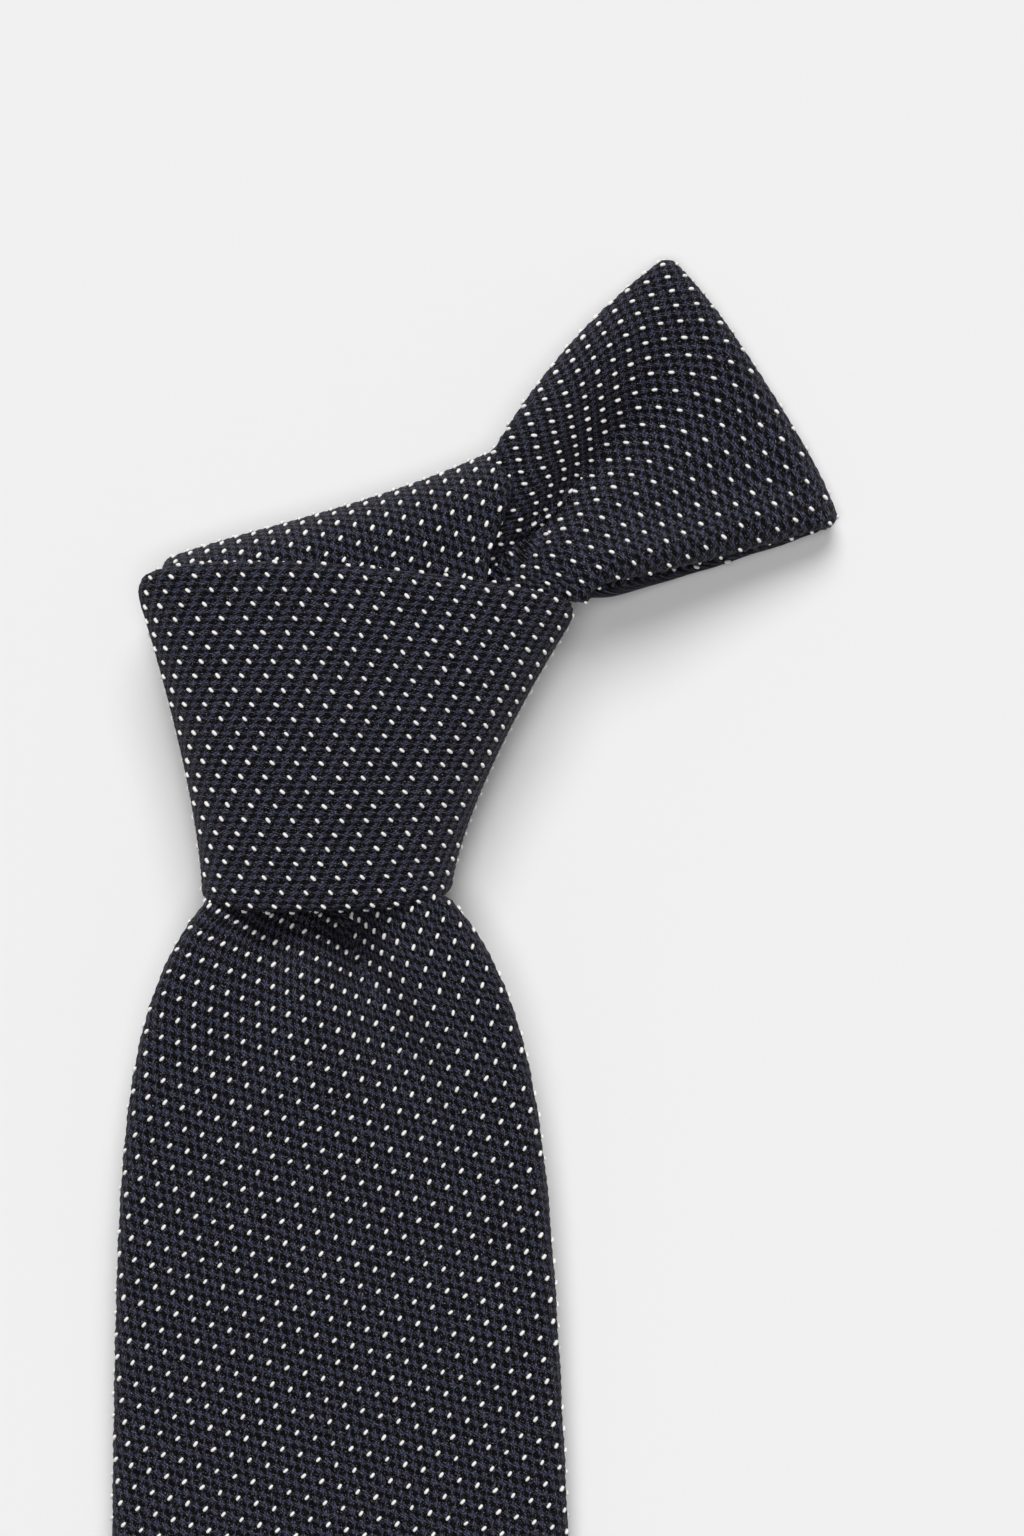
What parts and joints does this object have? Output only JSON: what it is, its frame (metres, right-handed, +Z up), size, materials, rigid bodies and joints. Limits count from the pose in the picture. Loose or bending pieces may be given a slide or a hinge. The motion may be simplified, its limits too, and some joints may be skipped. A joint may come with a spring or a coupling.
{
  "type": "necktie",
  "caption": "Patterned silk necktie in a four-in-hand knot, laid flat, whose blade lifts and whose knot slides on its tail.",
  "frame": {"origin": "on the table plane, on the underside of the knot", "axes": "+Z up, out of the tie's front; +Y from the blade's tip towards the knot; +X to the right, seen from the front"},
  "size_m": [0.0911, 0.6511, 0.0189],
  "materials": {
    "grenadine_silk": "open gauze weave in dark navy silk with small ivory dots, matt with a faint sheen",
    "wool_interlining": "brushed wool, matt",
    "lining_silk": "plain navy lining silk, satin",
    "silk_thread": "twisted navy silk thread",
    "woven_label": "plain woven satin ribbon, blank"
  },
  "bodies": {
    "knot": {"front_wrap": "grenadine_silk", "front_wrap_interlining": "wool_interlining", "over_top_pass": "grenadine_silk", "over_top_pass_interlining": "wool_interlining", "first_cross": "grenadine_silk", "first_cross_interlining": "wool_interlining", "back_wrap": "grenadine_silk", "back_wrap_interlining": "wool_interlining"},
    "neck_loop": {"neck_shell": "grenadine_silk", "neck_interlining": "wool_interlining"},
    "tail": {"tail_shell": "grenadine_silk", "tail_interlining": "wool_interlining", "tail_tipping": "lining_silk", "tail_slip_stitch": "silk_thread", "tail_bar_tack": "silk_thread"},
    "front_blade": {"front_blade_shell": "grenadine_silk", "front_blade_interlining": "wool_interlining", "front_blade_tipping": "lining_silk", "front_slip_stitch": "silk_thread", "front_bar_tack": "silk_thread", "keeper_loop": "grenadine_silk", "maker_label": "woven_label", "care_label": "woven_label"}
  },
  "joints": [
    {"name": "tail_slide", "type": "slide", "parent": "knot", "child": "tail", "axis": [0, 1, 0], "range_m": [0, 0.032]},
    {"name": "loop_slide", "type": "slide", "parent": "knot", "child": "neck_loop", "axis": [0.8415, 0.5402, 0], "range_m": [0, 0.016]},
    {"name": "blade_lift", "type": "hinge", "parent": "knot", "child": "front_blade", "pos_m": [0, -0.0236, 0.0145], "axis": [-1, 0, 0], "range_deg": [0, 100]}
  ],
  "couplings": [
    {"joint": "loop_slide", "follows": "tail_slide", "ratio": 0.5}
  ]
}
